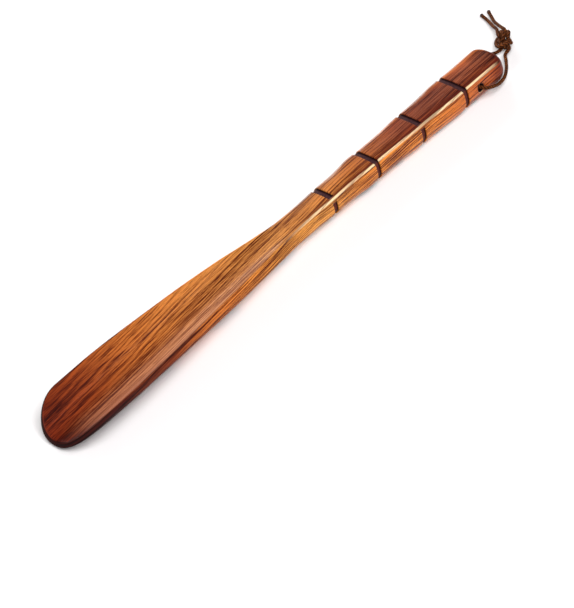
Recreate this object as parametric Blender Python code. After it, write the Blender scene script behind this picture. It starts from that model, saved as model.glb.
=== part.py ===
# Long wooden shoehorn with a hanging cord.
# Metres, +Z up. Origin on the surface it lies on, under the middle of the horn.
# +X runs from the blade's tip to the handle's end, the blade's hollow faces up.
import bpy
import bmesh
from math import acos, cos, pi, sin, sqrt
from mathutils import Vector

MM = 0.001

# ---------------------------------------------------------------- dimensions
HORN_LENGTH = 380.0          # all of these in millimetres
TIP_LENGTH = 25.0            # length over which the blade rounds off at its tip
TIP_POWER = 2.35             # 2 is an ellipse, more is a blunter tip
END_LENGTH = 8.5             # the same for the handle's end
END_POWER = 2.5

# Half of the widest width, by distance from the tip. It narrows from the blade to
# the neck, and swells a little before each notch of the handle.
OUTER = [(0, 18.6), (25, 19.0), (45, 19.0), (60, 18.6), (90, 17.0), (120, 15.0),
         (150, 12.7), (165, 11.2), (180, 9.8), (195, 8.7), (210, 8.5), (226, 8.9),
         (240, 8.8), (248, 9.15), (256, 9.75), (261, 9.7), (267, 9.35), (285, 9.55),
         (300, 10.2), (308, 10.1), (325, 10.6), (335, 11.1), (340, 11.05),
         (347, 10.85), (365, 11.0), (380, 11.2)]
# How far the top edge stands in from the widest line
INSET = [(0, 1.2), (60, 1.6), (120, 1.9), (180, 2.0), (250, 2.1), (380, 2.1)]
# Height of the top edge
RIM = [(0, 16.6), (30, 17.0), (60, 17.4), (90, 17.2), (120, 16.9), (150, 16.1),
       (165, 15.4), (180, 14.8), (195, 14.3), (226, 14.5), (240, 14.5), (256, 15.1),
       (266, 14.7), (285, 14.3), (303, 14.4), (320, 14.1), (336, 14.3), (350, 14.0),
       (380, 13.8)]
# Height of the top surface on the middle line: the hollow, then the handle's crown
SCOOP = [(0, 4.2), (30, 5.8), (60, 7.0), (90, 8.4), (120, 10.0), (150, 12.0),
         (170, 13.3), (190, 14.2), (205, 14.6), (226, 15.0), (256, 15.5), (285, 14.7),
         (303, 14.8), (336, 14.7), (380, 14.2)]
# Height of the widest line
WIDEST = [(0, 13.4), (60, 13.2), (90, 12.6), (120, 11.6), (150, 10.2), (180, 8.5),
          (210, 7.7), (380, 6.6)]
# Height of the underside on the middle line, and near its edge
BACK = [(0, 0.9), (25, 0.35), (50, 0.0), (80, 0.5), (120, 1.4), (160, 2.2), (195, 2.6),
        (240, 2.0), (290, 0.8), (318, 0.0), (380, 0.0)]
BACK_EDGE = [(0, 12.4), (60, 12.4), (90, 11.0), (120, 9.0), (150, 7.0), (180, 5.0),
             (210, 3.6), (290, 1.6), (318, 0.0), (380, 0.0)]
BACK_POWER = [(0, 2.1), (100, 2.1), (180, 2.3), (240, 3.0), (380, 4.0)]
# Width of the rounding between the side and the underside
LOWER = [(0, 1.6), (40, 2.2), (120, 3.0), (180, 4.2), (240, 4.6), (360, 4.4), (380, 4.0)]

# The four notches of the handle: distance from the tip, and whether the cut runs
# round the near top edge or stops short of it. All four run round the far one.
NOTCHES = [(226.0, False), (263.7, True), (303.5, False), (342.0, True)]
NOTCH_WIDTH = 4.0
NOTCH_DEPTH = 0.9
NOTCH_WALL = 0.16

HOLE_FROM_TIP = 354.3
HOLE_HEIGHT = 8.8
HOLE_DIAMETER = 4.0

CORD_DIAMETER = 1.8
KNOT_LENGTH = 17.6
KNOT_WIDTH = 9.4
KNOT_HEIGHT = 7.4
GAP = 0.3

# how finely the horn is divided
TIP_STEPS, BODY_STEPS, END_STEPS = 10, 34, 6
TOP_STEPS, UPPER_STEPS, LOWER_STEPS, BOTTOM_STEPS = 8, 3, 4, 6


# ------------------------------------------------------------------- helpers
def smooth(table, x):
    """A smooth curve without overshoot through a table of (distance, value)."""
    xs = [row[0] for row in table]
    ys = [row[1] for row in table]
    x = min(max(x, xs[0]), xs[-1])
    h = [b - a for a, b in zip(xs, xs[1:])]
    d = [(b - a) / w for a, b, w in zip(ys, ys[1:], h)]
    m = [d[0]]
    for i in range(1, len(xs) - 1):
        if d[i - 1] * d[i] <= 0:
            m.append(0.0)
        else:
            w1, w2 = 2 * h[i] + h[i - 1], h[i] + 2 * h[i - 1]
            m.append((w1 + w2) / (w1 / d[i - 1] + w2 / d[i]))
    m.append(d[-1])
    i = 0
    while i < len(h) - 1 and x > xs[i + 1]:
        i += 1
    s = (x - xs[i]) / h[i]
    return ((2 * s ** 3 - 3 * s ** 2 + 1) * ys[i] + (s ** 3 - 2 * s ** 2 + s) * h[i] * m[i]
            + (-2 * s ** 3 + 3 * s ** 2) * ys[i + 1] + (s ** 3 - s ** 2) * h[i] * m[i + 1])


def top_height(x, y):
    edge = smooth(OUTER, x) - smooth(INSET, x)
    rim, mid = smooth(RIM, x), smooth(SCOOP, x)
    return mid + (rim - mid) * min(1.3, abs(y) / edge) ** 2


def back_height(x, y):
    mid, edge = smooth(BACK, x), smooth(BACK_EDGE, x)
    return mid + (edge - mid) * (abs(y) / smooth(OUTER, x)) ** smooth(BACK_POWER, x)


def stations():
    """Distances from the tip, each with the share of the full width it has."""
    rows = []
    for k in range(TIP_STEPS + 1):
        t = pi / 2 * k / TIP_STEPS
        back = max(0.0, cos(t)) ** (2 / TIP_POWER) if k < TIP_STEPS else 0.0
        rows.append((TIP_LENGTH * (1 - back), sin(t) ** (2 / TIP_POWER)))
    body = [TIP_LENGTH + (HORN_LENGTH - END_LENGTH - TIP_LENGTH) * k / BODY_STEPS
            for k in range(1, BODY_STEPS + 1)]
    half = NOTCH_WIDTH / 2
    body = [x for x in body if all(abs(x - n) > half + 2.0 for n, _ in NOTCHES)]
    for n, _ in NOTCHES:
        body += [n - half - 1.6, n - half - NOTCH_WALL, n - half, n + half,
                 n + half + NOTCH_WALL, n + half + 1.6]
    rows += [(x, 1.0) for x in sorted(body)]
    for k in range(1, END_STEPS + 1):
        t = pi / 2 * k / END_STEPS
        share = max(0.0, cos(t)) ** (2 / END_POWER) if k < END_STEPS else 0.0
        rows.append((HORN_LENGTH - END_LENGTH + END_LENGTH * sin(t) ** (2 / END_POWER), share))
    return rows


def horn_loops():
    rows = stations()
    width = [smooth(OUTER, x) * share for x, share in rows]
    count = len(rows)
    loops = []
    for j, (x, share) in enumerate(rows):
        a, b = max(j - 1, 0), min(j + 1, count - 1)
        dx, dw = rows[b][0] - rows[a][0], width[b] - width[a]
        if j in (0, count - 1):
            nx, ny = (1.0, 0.0) if j == 0 else (-1.0, 0.0)
        else:
            length = sqrt(dx * dx + dw * dw)
            nx, ny = dw / length, -dx / length
        inset, lower = smooth(INSET, x), smooth(LOWER, x)
        closed = share <= 0.0

        def place(step):
            return x + step * nx, 0.0 if closed else width[j] + step * ny

        xr, yr = place(inset)
        z_edge = top_height(xr, yr)
        z_wide = smooth(WIDEST, x)
        z_back = back_height(x, width[j])
        if x < 100:                      # the widest line follows the blade's edge down
            z_wide = max(z_edge - (smooth(RIM, x) - z_wide), z_back + 0.8)
        flat = min(max((x - 110) / 90.0, 0.0), 1.0)
        flat = flat * flat * (3 - 2 * flat)    # 0 a rolled edge, 1 a planed side face
        side = []
        for k in range(1, UPPER_STEPS + 1):
            s = k / UPPER_STEPS
            roll = (inset * (1 - sin(pi * s / 2)), z_wide + (z_edge - z_wide) * cos(pi * s / 2))
            face = (inset * (1 - s) - 0.35 * sin(pi * s), z_edge - (z_edge - z_wide) * s)
            step = (1 - flat) * roll[0] + flat * face[0]
            side.append(place(step) + ((1 - flat) * roll[1] + flat * face[1],))
        for k in range(1, LOWER_STEPS + 1):
            s = k / LOWER_STEPS
            px, py = place(lower * (1 - cos(pi * s / 2)))
            side.append((px, py, back_height(px, py)
                         + (z_wide - z_back) * (1 - sin(pi * s / 2))))
        top = [(xr, yr * (2.0 * k / TOP_STEPS - 1.0)) for k in range(TOP_STEPS + 1)]
        top = [(px, py, top_height(px, py)) for px, py in top]
        xl, yl = side[-1][0], side[-1][1]
        bottom = [(xl, yl * (1.0 - 2.0 * k / BOTTOM_STEPS)) for k in range(1, BOTTOM_STEPS)]
        bottom = [(px, py, back_height(px, py)) for px, py in bottom]
        left = [(px, -py, pz) for px, py, pz in reversed(side)]

        # the notches: the top, both sides and the underside are cut a little deeper
        for n, round_edge in NOTCHES:
            if abs(x - n) <= NOTCH_WIDTH / 2 + 1e-6:
                d = NOTCH_DEPTH
                edge = d if round_edge else 0.0
                top = [(px, py, pz - (d if k > 0 else edge))
                       for k, (px, py, pz) in enumerate(top)]

                def cut(k, point, sign):
                    px, py, pz = point
                    if k < UPPER_STEPS + 1:
                        share_k = 1.0 if (k > 0 or round_edge or sign > 0) else 0.35
                        return px, py - sign * d * share_k, pz
                    return px, py - sign * d * 0.5, pz + (d * 0.5 if k < len(side) - 1 else d)

                right_cut = [cut(k, p, 1) for k, p in enumerate(side)]
                left_cut = [cut(len(side) - 1 - k, p, -1) for k, p in enumerate(left)]
                side_now, left = right_cut, left_cut
                bottom = [(px, py, pz + d) for px, py, pz in bottom]
                top[-1] = (top[-1][0], top[-1][1] - d * 0.6, top[-1][2])
                if round_edge:
                    top[0] = (top[0][0], top[0][1] + d * 0.6, top[0][2])
                break
        else:
            side_now = side
        loops.append(top + side_now + bottom + left)
    return loops


def add_material(name, colour, roughness):
    material = bpy.data.materials.new(name)
    material.use_nodes = True
    shader = material.node_tree.nodes["Principled BSDF"]
    shader.inputs["Base Color"].default_value = (*colour, 1.0)
    shader.inputs["Roughness"].default_value = roughness
    shader.inputs["Metallic"].default_value = 0.0
    return material


def new_object(name, mesh, material, collection):
    obj = bpy.data.objects.new(name, mesh)
    collection.objects.link(obj)
    mesh.materials.clear()
    mesh.materials.append(material)
    return obj


def curve_points(keys, spacing, close_to=None):
    """Evenly spaced points on a smooth curve through the route's own points."""
    pts = [Vector(p) for p in keys]
    pts = [pts[0] * 2 - pts[1]] + pts + [pts[-1] * 2 - pts[-2]]
    dense = []
    for i in range(1, len(pts) - 2):
        p0, p1, p2, p3 = pts[i - 1:i + 3]
        d1 = sqrt(max((p2 - p1).length, 1e-9))
        d0, d2 = sqrt(max((p1 - p0).length, 1e-9)), sqrt(max((p3 - p2).length, 1e-9))
        m1 = (p2 - p1) + d1 * ((p1 - p0) / d0 - (p2 - p0) / (d0 + d1))
        m2 = (p2 - p1) + d1 * ((p3 - p2) / d2 - (p3 - p1) / (d1 + d2))
        for k in range(24):
            t = k / 24
            dense.append((2 * t ** 3 - 3 * t ** 2 + 1) * p1 + (t ** 3 - 2 * t ** 2 + t) * m1
                         + (-2 * t ** 3 + 3 * t ** 2) * p2 + (t ** 3 - t ** 2) * m2)
    dense.append(pts[-2].copy())
    total = [0.0]
    for a, b in zip(dense, dense[1:]):
        total.append(total[-1] + (b - a).length)
    steps = max(2, round(total[-1] / spacing))
    out, i = [], 0
    for k in range(steps + 1):
        goal = total[-1] * k / steps
        while i < len(dense) - 2 and total[i + 1] < goal:
            i += 1
        span = total[i + 1] - total[i]
        out.append(dense[i].lerp(dense[i + 1], (goal - total[i]) / span if span else 0.0))
    return out


def add_tube(name, points, diameter, material, collection):
    curve = bpy.data.curves.new(name, "CURVE")
    curve.dimensions = "3D"
    spline = curve.splines.new("POLY")
    spline.points.add(len(points) - 1)
    for point, at in zip(spline.points, points):
        point.co = (*at, 1.0)
    curve.bevel_depth = diameter / 2
    curve.bevel_resolution = 2
    curve.use_fill_caps = True
    obj = bpy.data.objects.new(name, curve)
    collection.objects.link(obj)
    curve.materials.append(material)
    return obj


# -------------------------------------------------------------------- scene
for old in list(bpy.data.objects):
    bpy.data.objects.remove(old, do_unlink=True)

parts = bpy.data.collections.new("long_shoehorn")
cutters = bpy.data.collections.new("cutters")
bpy.context.scene.collection.children.link(parts)
bpy.context.scene.collection.children.link(cutters)

wood = add_material("lacquered_hardwood", (0.32, 0.115, 0.035), 0.28)
cord_look = add_material("waxed_cord", (0.16, 0.075, 0.04), 0.6)
sealed = add_material("sealed_cord_end", (0.05, 0.02, 0.015), 0.45)

CENTRE = HORN_LENGTH / 2
hole_x = HOLE_FROM_TIP - CENTRE

# ------------------------------------------------------------------ the horn
loops = horn_loops()
bm = bmesh.new()
rings = [[bm.verts.new(((x - CENTRE) * MM, y * MM, z * MM)) for x, y, z in ring]
         for ring in loops]
around = len(rings[0])
for a, b in zip(rings, rings[1:]):
    for k in range(around):
        n = (k + 1) % around
        bm.faces.new((a[k], a[n], b[n], b[k]))
bmesh.ops.remove_doubles(bm, verts=bm.verts[:], dist=0.00001)
bmesh.ops.recalc_face_normals(bm, faces=bm.faces[:])
mesh = bpy.data.meshes.new("horn_body")
bm.to_mesh(mesh)
bm.free()
horn = new_object("horn_body", mesh, wood, parts)

bpy.ops.mesh.primitive_cylinder_add(vertices=20, radius=HOLE_DIAMETER / 2 * MM, depth=0.04,
                                    location=(hole_x * MM, 0.0, HOLE_HEIGHT * MM),
                                    rotation=(pi / 2, 0.0, 0.0))
drill = bpy.context.object
drill.name = "hanging_hole_cutter"
for owner in list(drill.users_collection):
    owner.objects.unlink(drill)
cutters.objects.link(drill)
drill.hide_render = True
drill.display_type = "WIRE"
bore = horn.modifiers.new("hanging_hole", "BOOLEAN")
bore.operation = "DIFFERENCE"
bore.solver = "EXACT"
bore.object = drill
horn.data.shade_smooth()
horn.data.set_sharp_from_angle(angle=0.6)

# ------------------------------------------------------------------ the cord
# Everything on the cord turns about the hanging hole, so it hangs on this empty.
pivot = bpy.data.objects.new("cord_pivot", None)
pivot.location = (hole_x * MM, 0.0, HOLE_HEIGHT * MM)
parts.objects.link(pivot)

KNOT_START = Vector((203.9, 0.9, 4.0))       # where both legs go in
KNOT_END = Vector((217.8, 13.7, 4.0))        # where both tails come out
along = (KNOT_END - KNOT_START).normalized()
across = Vector((-along.y, along.x, 0.0))
middle = (KNOT_START + KNOT_END) / 2

NEAR_LEG = [(164.3, 0.0, 8.8), (164.4, -6.0, 8.8), (164.6, -9.6, 8.75),
            (165.7, -12.3, 8.4), (168.6, -13.4, 7.4), (173.0, -13.5, 5.6),
            (179.0, -12.9, 3.7), (186.0, -11.0, 2.6), (193.0, -7.3, 2.2),
            (198.8, -2.9, 2.2), (202.2, -0.2, 2.4), (204.0, 1.2, 2.6)]
FAR_LEG = [(164.3, 0.0, 8.8), (164.4, 6.0, 8.6), (164.6, 9.6, 8.35),
           (165.6, 12.2, 7.9), (168.8, 13.3, 6.6), (173.4, 13.4, 5.0),
           (179.5, 12.8, 3.4), (186.5, 11.8, 2.5), (193.0, 10.0, 2.2),
           (198.0, 7.8, 2.3), (202.2, 5.0, 2.7)]
TAIL_A = [(218.0, 13.2, 5.2), (219.2, 14.9, 5.0), (221.6, 19.0, 3.5), (224.6, 23.6, 1.9),
          (227.6, 27.4, 1.4), (230.0, 30.6, 1.3)]
TAIL_B = [(216.3, 14.9, 4.3), (217.2, 16.5, 4.2), (219.3, 20.2, 3.0), (222.2, 24.6, 1.9),
          (224.2, 28.4, 1.4), (225.4, 31.8, 1.3)]


def in_pivot(points):
    return [Vector(p) * MM - Vector(pivot.location) for p in points]


route = list(reversed(NEAR_LEG)) + FAR_LEG[1:]
loop = add_tube("cord_loop", in_pivot([tuple(p) for p in curve_points(route, 2.6)]),
                CORD_DIAMETER * MM, cord_look, parts)
tail_a = add_tube("cord_tail_near", in_pivot([tuple(p) for p in curve_points(TAIL_A, 2.4)]),
                  CORD_DIAMETER * MM, cord_look, parts)
tail_b = add_tube("cord_tail_far", in_pivot([tuple(p) for p in curve_points(TAIL_B, 2.4)]),
                  CORD_DIAMETER * MM, cord_look, parts)

bpy.ops.mesh.primitive_uv_sphere_add(segments=16, ring_count=10, radius=0.5)
knot = bpy.context.object
knot.name = "cord_knot"
knot.data.name = "cord_knot"
for owner in list(knot.users_collection):
    owner.objects.unlink(knot)
parts.objects.link(knot)
for vert in knot.data.vertices:
    p = vert.co * 2.0
    stretch = Vector((p.x * 0.5 * KNOT_LENGTH, p.y * 0.5 * KNOT_WIDTH, p.z * 0.5 * KNOT_HEIGHT))
    place_at = middle + along * stretch.x + across * stretch.y + Vector((0, 0, stretch.z))
    vert.co = place_at * MM - Vector(pivot.location)
knot.data.materials.append(cord_look)
knot.data.shade_smooth()

# the heat-sealed ends: short flared plugs on the tails' own lines
for name, line in (("cord_tip_near", TAIL_A), ("cord_tip_far", TAIL_B)):
    end, before = Vector(line[-1]), Vector(line[-2])
    heading = (end - before).normalized()
    start = end + heading * (GAP + 0.02)
    bpy.ops.mesh.primitive_cone_add(vertices=12, radius1=CORD_DIAMETER * 0.46,
                                    radius2=CORD_DIAMETER * 0.60, depth=1.6)
    tip = bpy.context.object
    tip.name = name
    tip.data.name = name
    for owner in list(tip.users_collection):
        owner.objects.unlink(tip)
    parts.objects.link(tip)
    turn = Vector((0, 0, 1)).rotation_difference(heading).to_matrix()
    for vert in tip.data.vertices:
        vert.co = (turn @ vert.co + start + heading * 0.8) * MM - Vector(pivot.location)
    tip.data.materials.append(sealed)

for piece in (loop, tail_a, tail_b, knot, parts.objects["cord_tip_near"],
              parts.objects["cord_tip_far"]):
    piece.parent = pivot
bpy.context.view_layer.update()
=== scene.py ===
from math import cos, pi, sin, sqrt

import bmesh
import bpy
from mathutils import Matrix, Vector, noise


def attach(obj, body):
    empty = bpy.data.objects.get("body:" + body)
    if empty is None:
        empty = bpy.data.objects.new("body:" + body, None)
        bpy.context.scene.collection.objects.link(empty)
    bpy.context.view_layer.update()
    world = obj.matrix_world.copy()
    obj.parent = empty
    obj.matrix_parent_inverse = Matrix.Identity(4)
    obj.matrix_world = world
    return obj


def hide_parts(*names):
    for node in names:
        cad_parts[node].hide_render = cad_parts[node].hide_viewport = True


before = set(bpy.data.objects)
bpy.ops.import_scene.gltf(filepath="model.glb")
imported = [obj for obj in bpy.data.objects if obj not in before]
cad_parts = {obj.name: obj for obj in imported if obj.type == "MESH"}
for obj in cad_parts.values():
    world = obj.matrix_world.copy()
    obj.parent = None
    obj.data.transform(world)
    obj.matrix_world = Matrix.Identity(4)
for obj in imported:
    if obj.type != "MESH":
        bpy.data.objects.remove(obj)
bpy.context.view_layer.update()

MM = 0.001
scene = bpy.context.scene
scene.view_settings.view_transform = "Standard"


# =============================================================== 1. the camera
def make_camera():
    data = bpy.data.cameras.new("camera")
    data.lens = 292.44
    data.sensor_width = 36.0
    data.sensor_fit = "AUTO"
    data.clip_start, data.clip_end = 0.1, 40.0
    camera = bpy.data.objects.new("camera", data)
    scene.collection.objects.link(camera)
    place = Vector((-1.5600, -1.26178, 1.66058))
    target = Vector((-0.016104, -0.013917, -0.018812))
    up = Vector((0.522468, 0.364326, 0.770904))
    back = (place - target).normalized()
    right = up.cross(back).normalized()
    up = back.cross(right)
    turn = Matrix((right, up, back)).transposed().to_4x4()
    camera.matrix_world = Matrix.Translation(place) @ turn
    scene.camera = camera


make_camera()


# ============================================================ shared functions
def smooth(table, x):
    """A smooth curve without overshoot through a table of (distance, value)."""
    xs = [row[0] for row in table]
    ys = [row[1] for row in table]
    x = min(max(x, xs[0]), xs[-1])
    h = [b - a for a, b in zip(xs, xs[1:])]
    d = [(b - a) / w for a, b, w in zip(ys, ys[1:], h)]
    m = [d[0]]
    for i in range(1, len(xs) - 1):
        if d[i - 1] * d[i] <= 0:
            m.append(0.0)
        else:
            w1, w2 = 2 * h[i] + h[i - 1], h[i] + 2 * h[i - 1]
            m.append((w1 + w2) / (w1 / d[i - 1] + w2 / d[i]))
    m.append(d[-1])
    i = 0
    while i < len(h) - 1 and x > xs[i + 1]:
        i += 1
    s = (x - xs[i]) / h[i]
    return ((2 * s ** 3 - 3 * s ** 2 + 1) * ys[i] + (s ** 3 - 2 * s ** 2 + s) * h[i] * m[i]
            + (-2 * s ** 3 + 3 * s ** 2) * ys[i + 1] + (s ** 3 - s ** 2) * h[i] * m[i + 1])


def ease(t):
    t = min(max(t, 0.0), 1.0)
    return t * t * (3 - 2 * t)


def curve_points(keys, spacing):
    """Evenly spaced points on a smooth curve through the route's own points."""
    pts = [Vector(p) for p in keys]
    pts = [pts[0] * 2 - pts[1]] + pts + [pts[-1] * 2 - pts[-2]]
    dense = []
    for i in range(1, len(pts) - 2):
        p0, p1, p2, p3 = pts[i - 1:i + 3]
        d1 = sqrt(max((p2 - p1).length, 1e-9))
        d0, d2 = sqrt(max((p1 - p0).length, 1e-9)), sqrt(max((p3 - p2).length, 1e-9))
        m1 = (p2 - p1) + d1 * ((p1 - p0) / d0 - (p2 - p0) / (d0 + d1))
        m2 = (p2 - p1) + d1 * ((p3 - p2) / d2 - (p3 - p1) / (d1 + d2))
        for k in range(24):
            t = k / 24
            dense.append((2 * t ** 3 - 3 * t ** 2 + 1) * p1 + (t ** 3 - 2 * t ** 2 + t) * m1
                         + (-2 * t ** 3 + 3 * t ** 2) * p2 + (t ** 3 - t ** 2) * m2)
    dense.append(pts[-2].copy())
    total = [0.0]
    for a, b in zip(dense, dense[1:]):
        total.append(total[-1] + (b - a).length)
    steps = max(2, round(total[-1] / spacing))
    out, i = [], 0
    for k in range(steps + 1):
        goal = total[-1] * k / steps
        while i < len(dense) - 2 and total[i + 1] < goal:
            i += 1
        span = total[i + 1] - total[i]
        out.append(dense[i].lerp(dense[i + 1], (goal - total[i]) / span if span else 0.0))
    return out


def add_object(name, mesh, material):
    obj = bpy.data.objects.new(name, mesh)
    scene.collection.objects.link(obj)
    mesh.materials.append(material)
    return obj


class Shader:
    """A material's node tree, with short calls to add nodes to it."""

    def __init__(self, name):
        self.material = bpy.data.materials.new(name)
        self.material.use_nodes = True
        self.tree = self.material.node_tree
        self.main = self.tree.nodes["Principled BSDF"]

    def add(self, kind, inputs=None, **settings):
        node = self.tree.nodes.new("ShaderNode" + kind)
        for key, value in settings.items():
            setattr(node, key, value)
        for key, value in (inputs or {}).items():
            self.give(node.inputs[key], value)
        return node

    def give(self, socket, value):
        if isinstance(value, bpy.types.NodeSocket):
            self.tree.links.new(value, socket)
        else:
            socket.default_value = value

    def math(self, operation, *values, clamp=False):
        node = self.add("Math", dict(enumerate(values)), operation=operation, use_clamp=clamp)
        return node.outputs[0]

    def stretch(self, vector, x, y, z):
        return self.add("VectorMath", {0: vector, 1: (x, y, z)},
                        operation="MULTIPLY").outputs[0]

    def noise(self, vector, scale=1.0, detail=2.0, rough=0.5):
        return self.add("TexNoise", {"Vector": vector, "Scale": scale, "Detail": detail,
                                     "Roughness": rough}).outputs[0]

    def ramp(self, value, stops):
        """Colours or greys at positions; linear between them."""
        node = self.add("ValToRGB", {0: value})
        marks = node.color_ramp.elements
        while len(marks) < len(stops):
            marks.new(0.5)
        for mark, (position, colour) in zip(marks, stops):
            mark.position = position
            if not isinstance(colour, tuple):
                colour = (colour, colour, colour)
            mark.color = (*colour, 1.0)
        return node.outputs[0]

    def spread(self, value, low, high, to_low=0.0, to_high=1.0):
        return self.add("MapRange", {"Value": value, "From Min": low, "From Max": high,
                                     "To Min": to_low, "To Max": to_high},
                        interpolation_type="SMOOTHSTEP").outputs[0]

    def mix(self, factor, a, b, blend="MIX"):
        node = self.add("Mix", data_type="RGBA", blend_type=blend)
        self.give(node.inputs["Factor"], factor)
        for key, value in ((6, a), (7, b)):
            self.give(node.inputs[key], (*value, 1.0) if isinstance(value, tuple) else value)
        return node.outputs[2]

    def attribute(self, name):
        return self.add("Attribute", attribute_name=name).outputs["Fac"]

    def set(self, **inputs):
        for key, value in inputs.items():
            self.give(self.main.inputs[key.replace("_", " ")], value)


# ================================================================ 2. materials
def srgb(r, g, b, times=1.0):
    """A screen colour, 0 to 255, as the light it reflects."""
    out = []
    for c in (r / 255, g / 255, b / 255):
        out.append(min(1.0, times * (c / 12.92 if c <= 0.04045 else ((c + 0.055) / 1.055) ** 2.4)))
    return tuple(out)


# The middle colour along the horn, from tip to end, on top and on the flanks: the wood's stain with
# painted light and shade laid in, the flanks painted brighter where they face the light, the handle's
# top painted darker than its sides, and the blade's edge near the tip and the handle's end face painted
# dark as shade
TOP_STAIN_AND_SHADE = [(0.01, srgb(94, 27, 10)), (0.09, srgb(144, 66, 26)), (0.20, srgb(178, 97, 40)),
             (0.33, srgb(180, 107, 50)), (0.47, srgb(181, 113, 54)), (0.57, srgb(178, 106, 50)),
             (0.67, srgb(158, 85, 38)), (0.77, srgb(123, 51, 25)), (0.87, srgb(110, 45, 25)),
             (0.95, srgb(150, 70, 36)), (0.99, srgb(88, 36, 18))]
FLANK_STAIN_AND_LIGHT = [(0.01, srgb(48, 10, 6)), (0.09, srgb(62, 14, 8)), (0.20, srgb(122, 48, 18)),
               (0.33, srgb(200, 108, 42)), (0.47, srgb(200, 122, 50)), (0.57, srgb(210, 134, 58)),
               (0.67, srgb(206, 115, 40)), (0.77, srgb(224, 128, 44)), (0.87, srgb(190, 98, 34)),
               (0.955, srgb(172, 76, 28)), (0.985, srgb(104, 32, 12))]
TOP_GAIN, FLANK_GAIN = 0.74, 0.60


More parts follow.
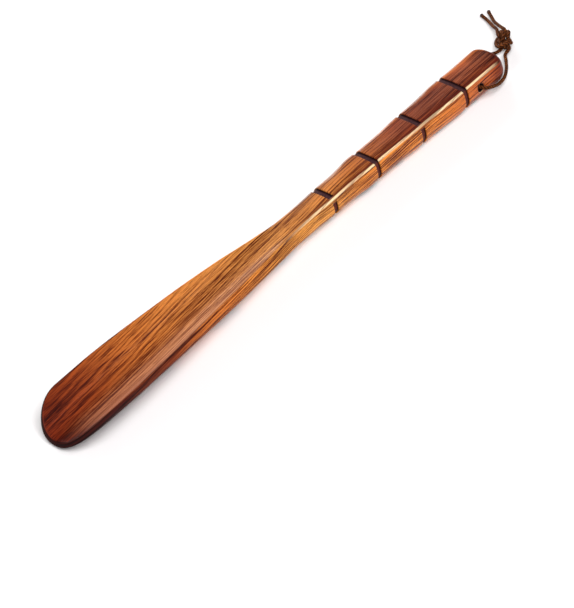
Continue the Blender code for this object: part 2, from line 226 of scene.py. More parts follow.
def lacquered_wood():
    """Dark streaked hardwood under lacquer, redder and darker towards both ends, its colour partly
    stain and partly painted light and shade.
    """
    s = Shader("lacquered_hardwood")
    place = s.add("TexCoord").outputs["Object"]
    p = s.stretch(place, 1000.0, 1000.0, 1000.0)                # millimetres
    part = s.add("SeparateXYZ", {0: p})
    along = s.math("DIVIDE", s.math("ADD", part.outputs[0], 190.0), 380.0, clamp=True)
    far = s.spread(part.outputs[1], -1.0, 3.0)                  # 0 on the near half, 1 beyond
    flank = s.attribute("flank")
    edge = s.attribute("edge")
    cut = s.attribute("cut")

    # the grain wanders a little, and the rings stand at a slant in the blank
    wander = s.add("TexNoise", {"Vector": s.stretch(p, 0.011, 0.02, 0.02), "Scale": 1.0,
                                "Detail": 1.0}).outputs["Color"]
    wander = s.add("VectorMath", {0: wander, 1: (0.5, 0.5, 0.5)},
                   operation="SUBTRACT").outputs[0]
    q = s.add("VectorMath", {0: s.stretch(wander, 0.0, 3.6, 3.6), 1: p},
              operation="ADD").outputs[0]
    flat = s.stretch(q, 1.0, 1.0, 0.45)
    turned = s.add("VectorRotate", {"Vector": flat, "Axis": (1.0, 0.05, -0.06), "Angle": 0.55},
                   rotation_type="AXIS_ANGLE").outputs[0]
    broad = s.noise(s.stretch(turned, 0.0045, 0.16, 0.05), detail=1.0)
    bands = s.noise(s.stretch(turned, 0.008, 0.60, 0.22), detail=2.0, rough=0.6)
    lines = s.noise(s.stretch(turned, 0.014, 1.45, 0.8), detail=2.0, rough=0.62)
    fibres = s.noise(s.stretch(flat, 0.050, 3.4, 3.4), detail=2.0, rough=0.6)

    tone = s.math("MULTIPLY", s.math("SUBTRACT", broad, 0.5), 0.8)
    tone = s.math("MULTIPLY_ADD", s.math("SUBTRACT", bands, 0.5), 1.25, tone)
    tone = s.math("MULTIPLY_ADD", s.math("SUBTRACT", lines, 0.5), 2.3, tone)
    tone = s.math("MULTIPLY_ADD", s.math("SUBTRACT", fibres, 0.5), 2.3, tone)
    # on the side faces the streaks follow the top edge, at a slight slant to it
    drift = s.add("SeparateXYZ", {0: wander}).outputs[1]
    down = s.math("MULTIPLY_ADD", part.outputs[0], 0.022, s.math("MULTIPLY_ADD", drift, 5.0, edge))
    beside = s.add("CombineXYZ", {0: part.outputs[0], 1: down,
                                  2: s.math("MULTIPLY", far, 40.0)}).outputs[0]
    wide = s.noise(s.stretch(beside, 0.009, 0.42, 1.0), detail=1.0)
    thin = s.noise(s.stretch(beside, 0.016, 1.35, 1.0), detail=2.0, rough=0.6)
    fine = s.noise(s.stretch(beside, 0.060, 3.6, 1.0), detail=2.0, rough=0.6)
    side_tone = s.math("MULTIPLY", s.math("SUBTRACT", wide, 0.5), 2.8)
    side_tone = s.math("MULTIPLY_ADD", s.math("SUBTRACT", thin, 0.5), 6.0, side_tone)
    side_tone = s.math("MULTIPLY_ADD", s.math("SUBTRACT", fine, 0.5), 4.0, side_tone)
    side_tone = s.math("ADD", side_tone, 0.07)
    tone = s.math("ADD", tone, s.math("MULTIPLY", flank, s.math("SUBTRACT", side_tone, tone)))
    tone = s.math("ADD", tone, 0.52, clamp=True)

    # the colour of the top and the flanks: stain with painted light and shade in it
    top = s.ramp(along, [(x, tuple(c * TOP_GAIN for c in rgb)) for x, rgb in TOP_STAIN_AND_SHADE])
    side = s.ramp(along, [(x, tuple(c * FLANK_GAIN for c in rgb)) for x, rgb in FLANK_STAIN_AND_LIGHT])
    stain_and_light = s.mix(flank, top, side)
    # painted highlight: the strip of the blade inside the far edge is painted golden, as where the key
    # light catches it
    far_strip_highlight = s.math("MULTIPLY", s.spread(edge, -7.5, -4.5), s.math("SUBTRACT", 1.0, flank))
    far_strip_highlight = s.math("MULTIPLY", far_strip_highlight, s.math("MULTIPLY", far, s.math(
        "MULTIPLY", s.spread(along, 0.06, 0.22), s.spread(along, 0.52, 0.40))))
    stain_and_light = s.mix(s.math("MULTIPLY", far_strip_highlight, 0.15), stain_and_light, srgb(180, 102, 40, 0.78))
    # painted sheen: the near half of the hollow is painted paler, a little towards lilac, as the
    # reflection of the bright surroundings, and its streaks are flattened there
    near_sheen = s.math("MULTIPLY", s.spread(part.outputs[1], 4.5, -11.0), s.math("SUBTRACT", 1.0, flank))
    near_sheen = s.math("MULTIPLY", near_sheen, s.math("MULTIPLY", s.spread(edge, -0.9, -1.9), s.math(
        "MULTIPLY", s.spread(along, 0.01, 0.07), s.spread(along, 0.44, 0.24, 0.25, 1.0))))
    near_sheen = s.math("MULTIPLY", near_sheen, s.spread(along, 0.50, 0.44))
    stain_and_light = s.mix(s.math("MULTIPLY", near_sheen, 0.62), stain_and_light,
                  s.mix(s.spread(along, 0.05, 0.30), srgb(184, 116, 84, 0.86),
                        srgb(206, 144, 106, 0.84)))
    tone = s.math("ADD", tone, s.math("MULTIPLY", s.math("MULTIPLY", near_sheen, 0.45),
                                      s.math("SUBTRACT", 0.52, tone)))
    # towards the tip, the far half of the blade is darker and redder
    deep = s.math("MULTIPLY", far, s.math("MULTIPLY", s.spread(along, 0.24, 0.08),
                                          s.math("SUBTRACT", 1.0, flank)))
    stain_and_light = s.mix(s.math("MULTIPLY", deep, 0.55), stain_and_light, srgb(112, 36, 10, 0.80))
    # painted sheen: on the handle the middle of each panel is painted a dull lilac-brown, as the
    # lacquer's reflection, and its far margin golden
    grip = s.math("MULTIPLY", s.spread(along, 0.66, 0.76), s.math("SUBTRACT", 1.0, flank))
    panel_sheen = s.math("MULTIPLY", s.spread(edge, -3.4, -6.5), s.math("MULTIPLY", grip, 0.40))
    stain_and_light = s.mix(panel_sheen, stain_and_light, srgb(122, 68, 50, 0.80))
    margin = s.math("MULTIPLY", s.spread(edge, -3.0, -1.4), s.math("MULTIPLY", grip, far))
    stain_and_light = s.mix(s.math("MULTIPLY", margin, 0.55), stain_and_light, srgb(196, 104, 46, 0.78))
    grain = s.ramp(tone, [(0.0, (0.10, 0.045, 0.04)), (0.25, (0.25, 0.17, 0.155)),
                          (0.50, (0.50, 0.48, 0.46)), (0.75, (0.74, 0.82, 0.84)),
                          (1.0, (0.92, 1.0, 1.0))])
    wood = s.mix(1.0, stain_and_light, grain, "MULTIPLY")
    wood = s.stretch(wood, 2.0, 2.0, 2.0)

    # a dark line just inside the near top edge, partly stain and partly painted shade where the surface
    # turns down; and the edge itself painted pale, mostly a painted highlight and partly wear
    rear = s.spread(along, 0.46, 0.60)
    near = s.math("SUBTRACT", 1.0, s.math("MULTIPLY", far, 0.85))
    stain_and_shade_line = s.math("MULTIPLY", s.spread(edge, -2.7, -1.8), s.spread(edge, -0.5, -1.0))
    stain_and_shade_line = s.math("MULTIPLY", stain_and_shade_line, s.math("MULTIPLY", rear, s.spread(bands, 0.35, 0.60, 0.6, 1.0)))
    wood = s.mix(s.math("MULTIPLY", stain_and_shade_line, near), wood, (0.090, 0.008, 0.003))
    shift = s.math("MULTIPLY", s.math("SUBTRACT", broad, 0.5), 1.6)
    ragged = s.math("ADD", edge, shift)
    wear_and_highlight = s.math("MULTIPLY", s.spread(ragged, -1.10, -0.50), s.spread(ragged, 0.95, 0.30))
    wear_and_highlight = s.math("MULTIPLY", wear_and_highlight, s.math("MULTIPLY", rear, s.spread(lines, 0.34, 0.54, 0.40, 1.0)))
    wear_and_highlight = s.math("MULTIPLY", wear_and_highlight, s.math("MULTIPLY", near, s.spread(along, 0.985, 0.965)))
    wood = s.mix(wear_and_highlight, wood, (0.860, 0.620, 0.350))

    # short open pores
    pores = s.noise(s.stretch(q, 0.30, 4.6, 4.6), detail=1.0)
    pore = s.spread(pores, 0.62, 0.70)
    wood = s.mix(s.math("MULTIPLY", pore, 0.5), wood, (0.030, 0.005, 0.002))

    # the notches are burnt dark; their walls are painted near-black as shade, and their floors a
    # grey-lilac as a painted sheen
    floor_sheen_share = s.math("MULTIPLY", s.attribute("floor"), s.noise(s.stretch(p, 0.8, 0.8, 0.8)))
    burn_shade_and_sheen = s.mix(s.math("MULTIPLY", floor_sheen_share, s.math("MULTIPLY_ADD", flank, 0.9, 0.9), clamp=True),
                  (0.010, 0.002, 0.003), s.mix(flank, (0.085, 0.032, 0.036), (0.090, 0.018, 0.012)))
    wood = s.mix(cut, wood, burn_shade_and_sheen)

    height = s.math("MULTIPLY_ADD", fibres, 0.5, s.math("MULTIPLY", lines, 0.35))
    height = s.math("SUBTRACT", height, s.math("MULTIPLY", pore, 0.8))
    wave = s.noise(s.stretch(p, 0.05, 0.16, 0.16), detail=1.0)
    bump = s.add("Bump", {"Strength": 0.55, "Distance": 0.00005, "Height": height})
    bump2 = s.add("Bump", {"Strength": 0.5, "Distance": 0.0004, "Height": wave,
                           "Normal": bump.outputs[0]})
    # the blade is rubbed to satin, and the handle keeps its gloss
    satin = s.spread(along, 0.60, 0.46, 0.0, 0.22)
    rough = s.math("MULTIPLY_ADD", fibres, 0.22, s.math("ADD", satin, 0.27))
    rough = s.math("MULTIPLY_ADD", cut, 0.15, rough)
    s.set(Base_Color=wood, Roughness=rough, Normal=bump2.outputs[0])
    s.main.inputs["IOR"].default_value = 1.40
    s.main.inputs["Specular IOR Level"].default_value = 0.10
    gloss = s.math("MULTIPLY", s.math("MULTIPLY", s.spread(along, 0.42, 0.62, 0.04, 0.34), s.spread(along, 0.975, 0.94, 0.25, 1.0)),
                   s.math("MULTIPLY_ADD", cut, -0.8, 1.0))
    s.set(Coat_Weight=gloss)
    s.main.inputs["Coat Roughness"].default_value = 0.12
    s.main.inputs["Coat IOR"].default_value = 1.40
    coat_wave = s.add("Bump", {"Strength": 0.4, "Distance": 0.0004, "Height": wave})
    s.set(Coat_Normal=coat_wave.outputs[0])
    return s.material


def waxed_cord():
    """Brown laid cord: painted shade darkens the grooves between the strands and the crests stay
    lighter; fine fibres, a wax sheen.
    """
    s = Shader("waxed_cord")
    place = s.add("TexCoord").outputs["Object"]
    p = s.stretch(place, 1000.0, 1000.0, 1000.0)
    crest = s.attribute("crest")
    lay = s.attribute("lay")
    wear = s.noise(s.stretch(p, 0.5, 0.5, 0.5), detail=3.0, rough=0.6)
    fluff = s.noise(s.stretch(p, 4.0, 4.0, 4.0), detail=2.0)
    thread = s.math("SINE", s.math("MULTIPLY", lay, 34.0))
    tone = s.math("MULTIPLY_ADD", s.math("SUBTRACT", wear, 0.5), 0.9, crest)
    tone = s.math("MULTIPLY_ADD", s.math("SUBTRACT", fluff, 0.5), 0.5, tone)
    tone = s.math("MULTIPLY_ADD", thread, 0.10, tone)
    colour = s.ramp(tone, [(0.0, (0.005, 0.001, 0.0005)), (0.36, (0.024, 0.006, 0.0015)),
                           (0.68, (0.115, 0.029, 0.007)), (1.0, (0.440, 0.155, 0.040))])
    height = s.math("MULTIPLY_ADD", thread, 0.5, s.math("MULTIPLY", fluff, 0.7))
    bump = s.add("Bump", {"Strength": 0.6, "Distance": 0.00006, "Height": height})
    s.set(Base_Color=colour, Roughness=s.math("MULTIPLY_ADD", wear, 0.25, 0.52),
          Normal=bump.outputs[0])
    s.main.inputs["IOR"].default_value = 1.25
    s.main.inputs["Specular IOR Level"].default_value = 0.12
    return s.material


def sealed_end():
    """The cord's melted end: almost black, lumpy and a little shiny."""
    s = Shader("sealed_cord_end")
    p = s.stretch(s.add("TexCoord").outputs["Object"], 1000.0, 1000.0, 1000.0)
    lumps = s.noise(s.stretch(p, 1.4, 1.4, 1.4), detail=3.0)
    colour = s.ramp(lumps, [(0.3, (0.012, 0.005, 0.004)), (0.7, (0.050, 0.020, 0.012))])
    bump = s.add("Bump", {"Strength": 0.7, "Distance": 0.0002, "Height": lumps})
    s.set(Base_Color=colour, Roughness=s.math("MULTIPLY_ADD", lumps, 0.3, 0.25),
          Normal=bump.outputs[0])
    return s.material


WOOD, CORD, SEALED = lacquered_wood(), waxed_cord(), sealed_end()

# ================================================================= 3. the cord
CORD_DIAMETER = 1.8
NEAR_LEG = [(164.3, 0.0, 8.8), (164.4, -6.0, 8.8), (164.6, -9.6, 8.75),
            (165.7, -12.3, 8.4), (168.6, -13.4, 7.4), (173.0, -13.5, 5.6),
            (179.0, -12.9, 3.7), (186.0, -11.0, 2.6), (193.0, -7.3, 2.2),
            (198.8, -2.9, 2.2), (202.9, 0.5, 2.4)]
FAR_LEG = [(164.3, 0.0, 8.8), (164.4, 6.0, 8.6), (164.6, 9.6, 8.25), (165.9, 12.0, 7.4),
           (169.0, 12.9, 6.1), (173.4, 13.2, 4.8), (179.5, 12.8, 3.4), (186.5, 11.8, 2.5),
           (193.0, 10.0, 2.2), (198.0, 7.8, 2.2), (201.4, 5.6, 2.4)]
TAIL_A = [(219.2, 14.9, 5.0), (221.6, 19.0, 3.5), (224.6, 23.6, 1.9), (227.6, 27.4, 1.4),
          (230.0, 30.6, 1.3)]
TAIL_B = [(217.0, 16.3, 4.1), (219.3, 20.2, 3.0), (222.2, 24.6, 1.9), (224.2, 28.4, 1.4),
          (225.4, 31.8, 1.3)]

# One overhand knot tied in both strands together: each strand's own line in
# millimetres, along the knot's axis, across it, and up.
KNOT_A = [(-2.4, 1.6, -1.5),
          (-1.2, 1.1, -1.2), (-0.6, 0.5, -0.1), (-0.2, 0.1, 1.3), (0.6, -0.2, 2.3),
          (1.9, 0.3, 2.5), (2.9, 0.6, 1.6), (2.9, 0.5, 0.2), (2.1, 1.0, -0.8),
          (0.9, 1.6, -0.7), (-0.3, 2.0, -0.0), (-1.6, 1.5, 0.2), (-2.3, 0.5, -0.5),
          (-2.1, -0.3, -1.5), (-1.0, -1.0, -2.2), (0.2, -0.9, -1.7), (0.9, -0.3, -0.6),
          (1.4, 0.7, 0.4), (2.2, 1.7, 0.4), (3.5, 1.9, 0.0)]
KNOT_B = [(-3.3, -1.8, -0.6), (-1.9, -1.6, -0.3),
          (-0.6, -1.6, 0.3), (0.3, -2.1, 1.3), (1.2, -2.5, 2.2), (2.5, -2.7, 1.8),
          (3.4, -2.3, 0.7), (3.8, -1.5, -0.4), (3.8, -0.5, -1.5), (3.5, 0.7, -2.1),
          (2.9, 2.0, -2.2), (1.8, 2.8, -2.0), (0.5, 3.3, -1.5), (-0.8, 3.4, -0.9),
          (-2.1, 3.3, -0.2), (-3.1, 2.7, 0.6), (-3.5, 1.5, 1.3), (-3.0, 0.2, 1.6),
          (-2.3, -1.0, 1.6), (-1.7, -2.2, 1.1), (-1.2, -3.0, 0.1), (-0.3, -3.2, -1.0),
          (1.0, -2.8, -1.0), (1.7, -2.0, 0.0), (2.4, -1.3, 1.0), (3.6, -1.2, 1.7)]
KNOT_START, KNOT_END = Vector((203.9, 0.9, 4.0)), Vector((217.8, 13.7, 4.0))
KNOT_STRETCH, KNOT_SPREAD = 1.95, 1.25


def knot_points(points):
    heading = (KNOT_END - KNOT_START).normalized()
    across = Vector((-heading.y, heading.x, 0.0))
    middle = (KNOT_START + KNOT_END) / 2
    return [tuple(middle + heading * a * KNOT_STRETCH + across * c * KNOT_SPREAD
                  + Vector((0, 0, h * KNOT_SPREAD)))
            for a, c, h in points]


def laid_tube(name, line, diameter, knot_from, knot_to, pitch=5.2, around=21):
    """A three-strand laid cord along a line of points, all in millimetres. Its lay opens
    a little between two distances along it, where it is bent tight in the knot."""
    count = len(line)
    tangents = []
    for i in range(count):
        tangents.append((line[min(i + 1, count - 1)] - line[max(i - 1, 0)]).normalized())
    side = tangents[0].cross(Vector((0, 0, 1))).normalized()
    verts, crest, lay = [], [], []
    travelled = 0.0
    for i, (point, tangent) in enumerate(zip(line, tangents)):
        if i:
            side = (tangents[i - 1].rotation_difference(tangent)) @ side
            travelled += (line[i] - line[i - 1]).length
        side = (side - tangent * side.dot(tangent)).normalized()
        other = tangent.cross(side)
        swirl = 2 * pi * travelled / pitch
        open_lay = 1.0 + 0.10 * ease((travelled - knot_from) / 3.0) * ease((knot_to - travelled) / 3.0)
        for k in range(around):
            angle = 2 * pi * k / around
            lobe = abs(cos(1.5 * (angle - swirl)))
            radius = diameter / 2 * open_lay * (0.95 + 0.125 * lobe ** 0.7)
            at = point + (side * cos(angle) + other * sin(angle)) * radius
            verts.append(at * MM)
            # crest is low in the grooves between strands, where the cord's colour paints shade
            crest.append(0.16 + 0.52 * lobe)
            lay.append(travelled / 3.0 + ((angle - swirl) / (2 * pi / 3)) % 1.0)
    faces = []
    for i in range(count - 1):
        for k in range(around):
            n = (k + 1) % around
            faces.append((i * around + k, i * around + n,
                          (i + 1) * around + n, (i + 1) * around + k))
    faces.append(tuple(reversed(range(around))))
    faces.append(tuple((count - 1) * around + k for k in range(around)))
    mesh = bpy.data.meshes.new(name)
    mesh.from_pydata(verts, [], faces)
    for label, values in (("crest", crest), ("lay", lay)):
        mesh.attributes.new(label, "FLOAT", "POINT").data.foreach_set("value", values)
    mesh.shade_smooth()
    mesh.update()
    return add_object(name, mesh, CORD)


def sealed_tip(name, start, heading, radius, length, seed):
    """A melted blob that grips the cord's last millimetre."""
    rings, around = 13, 20
    side = heading.cross(Vector((0, 0, 1))).normalized()
    other = heading.cross(side)
    verts = []
    for i in range(rings):
        t = i / (rings - 1)
        swell = 1.04 + 0.24 * ease(t * 1.6) if t < 0.62 else 0
        if t >= 0.62:
            u = (t - 0.62) / 0.38
            swell = 1.28 * sqrt(max(0.0, 1 - u * u))
        for k in range(around):
            a = 2 * pi * k / around
            lump = 1 + 0.10 * noise.noise(Vector((cos(a) * 1.7, sin(a) * 1.7, t * 2 + seed)))
            r = max(radius * swell * lump, 0.001)
            verts.append((start + heading * (length * t) + (side * cos(a) + other * sin(a)) * r) * MM)
    faces = [(i * around + k, i * around + (k + 1) % around,
              (i + 1) * around + (k + 1) % around, (i + 1) * around + k)
             for i in range(rings - 1) for k in range(around)]
    faces.append(tuple(reversed(range(around))))
    mesh = bpy.data.meshes.new(name)
    mesh.from_pydata(verts, [], faces)
    work = bmesh.new()
    work.from_mesh(mesh)
    bmesh.ops.remove_doubles(work, verts=work.verts[:], dist=0.00001)
    bmesh.ops.recalc_face_normals(work, faces=work.faces[:])
    work.to_mesh(mesh)
    work.free()
    mesh.shade_smooth()
    return add_object(name, mesh, SEALED)


def add_half(name, leg, knot, tail, nodes, tip_node, tip_name, seed):
    line = curve_points(leg + knot_points(knot) + tail, 0.4)
    heading = (Vector(tail[-1]) - Vector(tail[-2])).normalized()
    line.append(line[-1] + heading * 0.3)
    # the knot lies between the leg's last point and the tail's first
    spots = [min(range(len(line)), key=lambda i: (line[i] - Vector(goal)).length)
             for goal in (leg[-1], tail[0])]
    before, through = (sum((b - a).length for a, b in zip(line[:n + 1], line[1:n + 1]))
                       for n in spots)
    piece = laid_tube(name, line, CORD_DIAMETER, before + 1.0, through - 0.5)
    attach(piece, "cord")
    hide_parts(*nodes)
    tip = sealed_tip(tip_name, line[-1] - heading * 0.25, heading, CORD_DIAMETER / 2,
                     1.85, seed)
    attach(tip, "cord")
    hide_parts(tip_node)
    return piece


near_half = add_half("cord_near", NEAR_LEG, KNOT_B, TAIL_A,
                     ["cord_loop", "cord_tail_near"], "cord_tip_near", "sealed_tip_near", 1.0)
far_half = add_half("cord_far", FAR_LEG, KNOT_A, TAIL_B,
                    ["cord_knot", "cord_tail_far"], "cord_tip_far", "sealed_tip_far", 7.0)

# ================================================================= 4. the horn
HORN_LENGTH = 380.0
TIP_LENGTH, TIP_POWER = 25.0, 2.35
END_LENGTH, END_POWER = 8.5, 2.5
OUTER = [(0, 18.6), (25, 19.0), (45, 19.0), (60, 18.6), (90, 17.0), (120, 15.0),
         (150, 12.7), (165, 11.2), (180, 9.8), (195, 8.7), (210, 8.5), (226, 8.9),
         (240, 8.8), (248, 9.15), (256, 9.75), (261, 9.7), (267, 9.35), (285, 9.55),
         (300, 10.2), (308, 10.1), (325, 10.6), (335, 11.1), (340, 11.05),
         (347, 10.85), (365, 11.0), (380, 11.2)]
INSET = [(0, 1.2), (60, 1.6), (120, 1.9), (180, 2.0), (250, 2.1), (380, 2.1)]
RIM = [(0, 16.6), (30, 17.0), (60, 17.4), (90, 17.2), (120, 16.9), (150, 16.1),
       (165, 15.4), (180, 14.8), (195, 14.3), (226, 14.5), (240, 14.5), (256, 15.1),
       (266, 14.7), (285, 14.3), (303, 14.4), (320, 14.1), (336, 14.3), (350, 14.0),
       (380, 13.8)]
SCOOP = [(0, 4.2), (30, 5.8), (60, 7.0), (90, 8.4), (120, 10.0), (150, 12.0),
         (170, 13.3), (190, 14.2), (205, 14.6), (226, 15.0), (256, 15.5), (285, 14.7),
         (303, 14.8), (336, 14.7), (380, 14.2)]
WIDEST = [(0, 13.4), (60, 13.2), (90, 12.6), (120, 11.6), (150, 10.2), (180, 8.5),
          (210, 7.7), (380, 6.6)]
BACK = [(0, 0.9), (25, 0.35), (50, 0.0), (80, 0.5), (120, 1.4), (160, 2.2), (195, 2.6),
        (240, 2.0), (290, 0.8), (318, 0.0), (380, 0.0)]
BACK_EDGE = [(0, 12.4), (60, 12.4), (90, 11.0), (120, 9.0), (150, 7.0), (180, 5.0),
             (210, 3.6), (290, 1.6), (318, 0.0), (380, 0.0)]
BACK_POWER = [(0, 2.1), (100, 2.1), (180, 2.3), (240, 3.0), (380, 4.0)]
LOWER = [(0, 1.6), (40, 2.2), (120, 3.0), (180, 4.2), (240, 4.6), (360, 4.4), (380, 4.0)]
# how far the rounding of the top edge reaches onto the top and down the side
CORNER = [(0, 0.8), (120, 0.9), (190, 1.2), (380, 1.45)]
# distance from the tip, and whether the cut runs round the near top edge
NOTCHES = [(226.0, False), (263.7, True), (303.5, False), (342.0, True)]
NOTCH_TOP, NOTCH_SIDE, NOTCH_DEPTH = 4.3, 3.7, 0.95
HOLE_FROM_TIP, HOLE_HEIGHT, HOLE_DIAMETER = 354.3, 8.8, 4.0
CENTRE = HORN_LENGTH / 2
TIP_STEPS, END_STEPS, SPACING = 26, 18, 1.25
TOP_STEPS, CORNER_STEPS, SIDE_STEPS, LOWER_STEPS, BOTTOM_STEPS = 15, 6, 7, 8, 11


def top_height(x, y):
    edge = smooth(OUTER, x) - smooth(INSET, x)
    rim, mid = smooth(RIM, x), smooth(SCOOP, x)
    return mid + (rim - mid) * min(1.3, abs(y) / edge) ** 2


def back_height(x, y):
    mid, edge = smooth(BACK, x), smooth(BACK_EDGE, x)
    return mid + (edge - mid) * (abs(y) / smooth(OUTER, x)) ** smooth(BACK_POWER, x)


def stations():
    rows = []
    for k in range(TIP_STEPS + 1):
        t = pi / 2 * k / TIP_STEPS
        back = max(0.0, cos(t)) ** (2 / TIP_POWER) if k < TIP_STEPS else 0.0
        rows.append((TIP_LENGTH * (1 - back), sin(t) ** (2 / TIP_POWER)))
    first, last = TIP_LENGTH, HORN_LENGTH - END_LENGTH
    steps = round((last - first) / SPACING)
    body = [first + (last - first) * k / steps for k in range(1, steps + 1)]
    body = [x for x in body if all(abs(x - n) > 3.0 for n, _ in NOTCHES)]
    for n, _ in NOTCHES:
        for away in (0.6, 1.2, 1.55, 1.72, 1.80, 1.88, 1.97, 2.04, 2.11, 2.18, 2.27, 2.5, 2.8):
            body += [n - away, n + away]
        body.append(n)
    rows += [(x, 1.0) for x in sorted(body)]
    for k in range(1, END_STEPS + 1):
        t = pi / 2 * k / END_STEPS
        share = max(0.0, cos(t)) ** (2 / END_POWER) if k < END_STEPS else 0.0
        rows.append((last + END_LENGTH * sin(t) ** (2 / END_POWER), share))
    return rows


def half_section(x, w, nx, ny, closed):
    """The right half of one station's outline, from the top's middle to the underside's."""
    def at(step):
        return x + step * nx, 0.0 if closed else w + step * ny

    inset, lower, corner = smooth(INSET, x), smooth(LOWER, x), smooth(CORNER, x)
    xe, ye = at(inset)
    z_edge = top_height(xe, ye)
    z_wide, z_back = smooth(WIDEST, x), back_height(x, w)
    if x < 100:
        z_wide = max(z_edge - (smooth(RIM, x) - z_wide), z_back + 0.8)
    flat = ease((x - 110) / 90.0)

    def side(s):
        roll = (inset * (1 - sin(pi * s / 2)), z_wide + (z_edge - z_wide) * cos(pi * s / 2))
        face = (inset * (1 - s) - 0.35 * sin(pi * s), z_edge - (z_edge - z_wide) * s)
        px, py = at((1 - flat) * roll[0] + flat * face[0])
        return Vector((px, py, (1 - flat) * roll[1] + flat * face[1]))

    xt, yt = at(inset + corner)
    pts = [Vector((xt, yt * k / TOP_STEPS, top_height(xt, yt * k / TOP_STEPS)))
           for k in range(TOP_STEPS + 1)]
    s0 = min(0.5, corner / max(z_edge - z_wide, 1.0))
    a, b, c = pts[-1], Vector((xe, ye, z_edge)), side(s0)
    for k in range(1, CORNER_STEPS + 1):
        t = k / CORNER_STEPS
        pts.append(a * (1 - t) ** 2 + b * 2 * t * (1 - t) + c * t ** 2)
    ridge = TOP_STEPS + CORNER_STEPS // 2
    for k in range(1, SIDE_STEPS + 1):
        pts.append(side(s0 + (1 - s0) * k / SIDE_STEPS))
    for k in range(1, LOWER_STEPS + 1):
        s = k / LOWER_STEPS
        px, py = at(lower * (1 - cos(pi * s / 2)))
        pts.append(Vector((px, py, back_height(px, py) + (z_wide - z_back) * (1 - sin(pi * s / 2)))))
    xl, yl = pts[-1].x, pts[-1].y
    for k in range(1, BOTTOM_STEPS + 1):
        y = yl * (1 - k / BOTTOM_STEPS)
        pts.append(Vector((xl, y, back_height(xl, y))))
    return pts, ridge


def cut_share(s, near, round_edge):
    """How deep a notch is at a distance from the top edge: less than 0 is on the top."""
    if round_edge or not near:
        return 1.0 - 0.25 * max(0.0, 1 - abs(s) / 1.2)
    if s < 0:
        return ease((-s - 1.25) / 0.95)
    return ease((s - 1.7) / 0.9)


def horn_mesh():
    rows = stations()
    width = [smooth(OUTER, x) * share for x, share in rows]
    count = len(rows)
    verts, cut_values, flank_values, edge_values, floor_values = [], [], [], [], []
    ring_size = 0
    for j, (x, share) in enumerate(rows):
        if j in (0, count - 1):
            nx, ny = (1.0, 0.0) if j == 0 else (-1.0, 0.0)
        else:
            if TIP_LENGTH < x < HORN_LENGTH - END_LENGTH - 1e-6:
                dx, dw = 1.0, smooth(OUTER, x + 0.5) - smooth(OUTER, x - 0.5)
            else:
                dx, dw = rows[j + 1][0] - rows[j - 1][0], width[j + 1] - width[j - 1]
            length = sqrt(dx * dx + dw * dw)
            nx, ny = dw / length, -dx / length
        half, ridge = half_section(x, width[j], nx, ny, share <= 0.0)
        arc = [0.0]
        for a, b in zip(half, half[1:]):
            arc.append(arc[-1] + (b - a).length)
        from_edge = [v - arc[ridge] for v in arc]

        notch = None
        for n, round_edge in NOTCHES:
            if abs(x - n) < 2.5:
                notch = (round_edge, abs(x - n))
        normals = []
        for i in range(len(half)):
            a, b = half[max(i - 1, 0)], half[min(i + 1, len(half) - 1)]
            d = Vector((0.0, b.y - a.y, b.z - a.z))
            normals.append(Vector((0.0, -d.z, d.y)).normalized() if d.length > 1e-6 else
                           Vector((0.0, 0.0, 1.0)))
        floor_here = ease((1.75 - notch[1]) / 1.1) if notch else 0.0
        ring = []
        for near in (False, True):
            out = []
            for i, point in enumerate(half):
                point, outward = point.copy(), normals[i].copy()
                s = from_edge[i]
                depth = 0.0
                if notch:
                    wide = NOTCH_TOP + (NOTCH_SIDE - NOTCH_TOP) * ease((s + 1.0) / 2.0)
                    wall = min(1.0, max(0.0, (wide / 2 - notch[1]) / 0.14))
                    soft = 0.07 * ease((wide / 2 + 0.22 - notch[1]) / 0.3)
                    depth = max(wall, soft) * cut_share(s, near, notch[0])
                # a hand-finished surface is never quite even
                lift = 0.05 * noise.noise(Vector((point.x * 0.055, (-1 if near else 1) * point.y * 0.12,
                                                  point.z * 0.12)))
                if point.z < 3.0:
                    lift = min(lift, 0.0) * point.z / 3.0
                point += outward * (min(lift, 0.03) - depth * NOTCH_DEPTH)
                point.z = max(point.z, 0.0)
                if near:
                    point.y = -point.y
                flank = ease((s + 0.6) / 1.6)
                out.append((point, min(1.0, max(0.0, depth - 0.25) / 0.4), flank,
                            max(-12.0, min(12.0, s))))
            ring.append(out)
        right, left = ring
        ring = right + left[-2:0:-1]
        ring_size = len(ring)
        for point, cut, flank, s in ring:
            verts.append(((point.x - CENTRE) * MM, point.y * MM, point.z * MM))
            cut_values.append(cut)
            flank_values.append(flank)
            edge_values.append(s)
            floor_values.append(floor_here)
    faces = []
    for j in range(count - 1):
        for k in range(ring_size):
            n = (k + 1) % ring_size
            faces.append((j * ring_size + k, (j + 1) * ring_size + k,
                          (j + 1) * ring_size + n, j * ring_size + n))
    mesh = bpy.data.meshes.new("horn_rough")
    mesh.from_pydata(verts, [], faces)
    for label, values in (("cut", cut_values), ("flank", flank_values), ("edge", edge_values),
                          ("floor", floor_values)):
        mesh.attributes.new(label, "FLOAT", "POINT").data.foreach_set("value", values)
    work = bmesh.new()
    work.from_mesh(mesh)
    bmesh.ops.remove_doubles(work, verts=work.verts[:], dist=0.00001)
    bmesh.ops.dissolve_degenerate(work, edges=work.edges[:], dist=0.000001)
    bmesh.ops.recalc_face_normals(work, faces=work.faces[:])
    work.to_mesh(mesh)
    work.free()
    return mesh


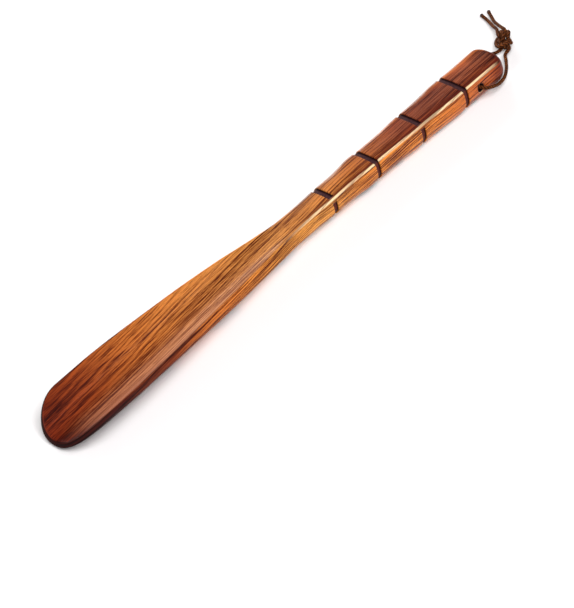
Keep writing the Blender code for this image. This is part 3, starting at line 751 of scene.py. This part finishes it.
def drill_mesh():
    """The hanging hole with its eased mouths, as the shape it takes out."""
    profile = [(-16.0, 3.6), (-11.4, 3.3), (-10.7, 2.65), (-10.1, 2.18), (-9.3, 2.0), (9.3, 2.0),
               (10.1, 2.18), (10.7, 2.65), (11.4, 3.3), (16.0, 3.6)]
    around = 48
    verts, faces = [], []
    for y, r in profile:
        for k in range(around):
            a = 2 * pi * k / around
            verts.append(((HOLE_FROM_TIP - CENTRE + r * cos(a)) * MM, y * MM,
                          (HOLE_HEIGHT + r * sin(a)) * MM))
    for i in range(len(profile) - 1):
        for k in range(around):
            n = (k + 1) % around
            faces.append((i * around + k, i * around + n, (i + 1) * around + n, (i + 1) * around + k))
    faces.append(tuple(reversed(range(around))))
    faces.append(tuple((len(profile) - 1) * around + k for k in range(around)))
    mesh = bpy.data.meshes.new("drill")
    mesh.from_pydata(verts, [], faces)
    work = bmesh.new()
    work.from_mesh(mesh)
    bmesh.ops.recalc_face_normals(work, faces=work.faces[:])
    work.to_mesh(mesh)
    work.free()
    return mesh


rough = add_object("horn_rough", horn_mesh(), WOOD)
drill = bpy.data.objects.new("drill", drill_mesh())
scene.collection.objects.link(drill)
bore = rough.modifiers.new("hole", "BOOLEAN")
bore.operation, bore.solver, bore.object = "DIFFERENCE", "EXACT", drill
bpy.context.view_layer.update()
finished = bpy.data.meshes.new_from_object(
    rough.evaluated_get(bpy.context.evaluated_depsgraph_get()))
finished.name = "horn"
bpy.data.objects.remove(rough, do_unlink=True)
bpy.data.objects.remove(drill, do_unlink=True)
# painted shade: the bore of the hanging hole and its mouths are marked as cut, so they take the
# notches' dark colour
axis_x, axis_z = (HOLE_FROM_TIP - CENTRE) * MM, HOLE_HEIGHT * MM
for vert in finished.vertices:
    away = sqrt((vert.co.x - axis_x) ** 2 + (vert.co.z - axis_z) ** 2) / MM
    if away < 3.2:
        finished.attributes["flank"].data[vert.index].value = 1.0
        if away < 2.1:
            finished.attributes["edge"].data[vert.index].value = 5.0
        finished.attributes["cut"].data[vert.index].value = 1.0 if away < 2.75 else 0.0
finished.materials.clear()
horn = add_object("horn", finished, WOOD)
finished.shade_smooth()
finished.set_sharp_from_angle(angle=0.75)
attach(horn, "horn")
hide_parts("horn_body")


# =========================================================== 5. floor and light
def add_floor():
    s = Shader("studio_floor")
    s.set(Base_Color=(0.875, 0.855, 0.862, 1.0), Roughness=0.9)
    s.main.inputs["Specular IOR Level"].default_value = 0.0
    size = 14.0
    mesh = bpy.data.meshes.new("floor")
    mesh.from_pydata([(-size, -size, -0.0001), (size, -size, -0.0001),
                      (size, size, -0.0001), (-size, size, -0.0001)], [], [(0, 1, 2, 3)])
    add_object("floor", mesh, s.material)


def add_light(name, direction, distance, width, height, power, colour=(1, 1, 1)):
    data = bpy.data.lights.new(name, "AREA")
    data.shape = "RECTANGLE"
    data.size, data.size_y = width, height
    data.energy, data.color = power, colour
    light = bpy.data.objects.new(name, data)
    direction = Vector(direction).normalized()
    light.location = direction * distance
    light.rotation_mode = "QUATERNION"
    light.rotation_quaternion = direction.to_track_quat("Z", "Y")
    scene.collection.objects.link(light)
    return light


def add_world():
    world = bpy.data.worlds.new("studio")
    scene.world = world
    world.use_nodes = True
    tree = world.node_tree
    place = tree.nodes.new("ShaderNodeTexCoord")
    part = tree.nodes.new("ShaderNodeSeparateXYZ")
    ramp = tree.nodes.new("ShaderNodeValToRGB")
    sky = tree.nodes["Background"]
    tree.links.new(place.outputs["Generated"], part.inputs[0])
    tree.links.new(part.outputs[2], ramp.inputs[0])
    tree.links.new(ramp.outputs[0], sky.inputs[0])
    marks = ramp.color_ramp.elements
    while len(marks) < 4:
        marks.new(0.5)
    for mark, (position, grey) in zip(marks, [(0.0, 1.1), (0.16, 1.0), (0.40, 0.16), (1.0, 0.12)]):
        mark.position, mark.color = position, (grey, grey, grey, 1.0)
    sky.inputs[1].default_value = 1.0


add_floor()
add_world()
add_light("key", (-0.30, -0.40, 0.87), 2.0, 1.7, 1.7, 47.0)
add_light("card", (0.30, 0.90, 0.30), 1.8, 1.8, 0.7, 34.0, (0.98, 1.0, 0.97))
add_light("strip", (0.60, -0.475, 0.644), 1.5, 0.22, 0.9, 5.0, (1.0, 0.97, 0.93))
